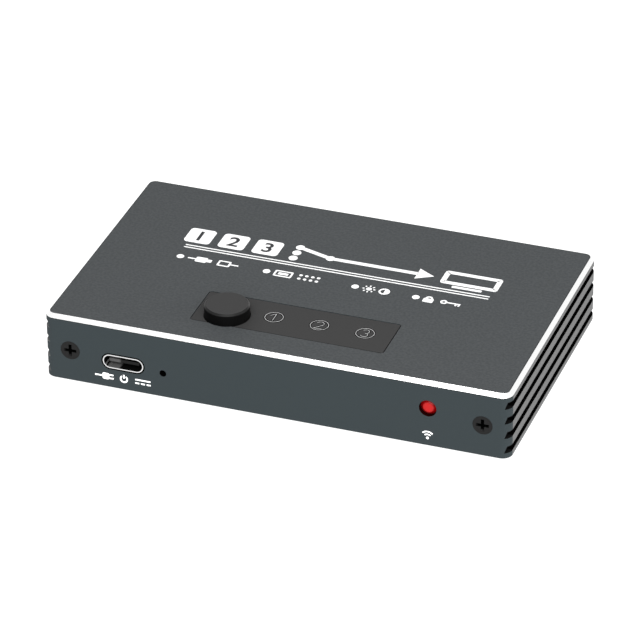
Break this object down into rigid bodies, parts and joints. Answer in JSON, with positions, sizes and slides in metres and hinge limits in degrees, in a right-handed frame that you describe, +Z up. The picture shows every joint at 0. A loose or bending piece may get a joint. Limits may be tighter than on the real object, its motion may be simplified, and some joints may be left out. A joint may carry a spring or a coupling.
{
  "type": "video switch box",
  "caption": "Flat finned aluminium video switch box with a round select button, numbered indicator overlay, front power socket and red receiver window, and rear video sockets.",
  "frame": {"origin": "on the table under the middle of the box", "axes": "+X to the right of someone facing the front, +Y towards the rear sockets, +Z up"},
  "size_m": [0.101, 0.0605, 0.0187],
  "materials": {
    "anodised_sleeve": "bead-blasted dark grey anodising, dark in the grooves",
    "anodised_plate": "bead-blasted dark grey anodising, bright cut chamfer",
    "black_screw": "black oxide",
    "foot_rubber": "matte",
    "overlay_film": "fine matte film with light printed rings",
    "clear_pipe": "clear moulded",
    "lamp_body": "moulded",
    "dark_lamp": "smoked lens",
    "button_plastic": "satin, moulded",
    "black_plastic": "moulded",
    "steel": "nickel plated",
    "tin": "tinned",
    "contact_gold": "gold flashed",
    "red_window": "tinted, polished",
    "module_plastic": "moulded",
    "board_laminate": "solder mask",
    "pad_silicone": "soft, matte",
    "chip_plastic": "moulded",
    "ferrite": "sintered",
    "can_aluminium": "drawn can",
    "ceramic": "sintered",
    "white_ink": "screen print on the housing",
    "dark_ink": "numbers printed on white tiles",
    "grey_ink": "fine print on the overlay",
    "shadow_ink": "shadow lines of the print on the overlay"
  },
  "bodies": {
    "housing": {"body_sleeve": "anodised_sleeve", "front_panel": "anodised_plate", "rear_panel": "anodised_plate", "front_screws": "black_screw", "rear_screws": "black_screw", "rubber_feet": "foot_rubber", "indicator_overlay": "overlay_film", "light_pipes": "clear_pipe", "indicator_lamps": "lamp_body", "pilot_lamp": "dark_lamp", "switch_cover": "steel", "switch_base": "black_plastic", "switch_dome": "steel", "switch_terminals": "tin", "input_1_shell": "steel", "input_1_insert": "black_plastic", "input_1_contacts": "contact_gold", "input_2_shell": "steel", "input_2_insert": "black_plastic", "input_2_contacts": "contact_gold", "input_3_shell": "steel", "input_3_insert": "black_plastic", "input_3_contacts": "contact_gold", "output_shell": "steel", "output_insert": "black_plastic", "output_contacts": "contact_gold", "power_shell": "steel", "power_insert": "black_plastic", "power_contacts": "contact_gold", "receiver_window": "red_window", "receiver_module": "module_plastic", "receiver_leads": "tin", "main_board": "board_laminate", "thermal_pad": "pad_silicone", "switching_chip": "chip_plastic", "control_chip": "chip_plastic", "control_leads": "tin", "crystal": "steel", "regulator": "chip_plastic", "regulator_leads": "tin", "inductor": "ferrite", "round_capacitors": "can_aluminium", "ceramic_capacitors": "ceramic"},
    "button": {"select_button": "button_plastic", "switch_plunger": "black_plastic"}
  },
  "joints": [
    {"name": "select_press", "type": "slide", "parent": "housing", "child": "button", "axis": [0, 0, -1], "range_m": [0, 0.0004], "stiffness_N_per_m": 4000, "springref_m": -0.0002, "deforming": ["switch_dome"]}
  ]
}
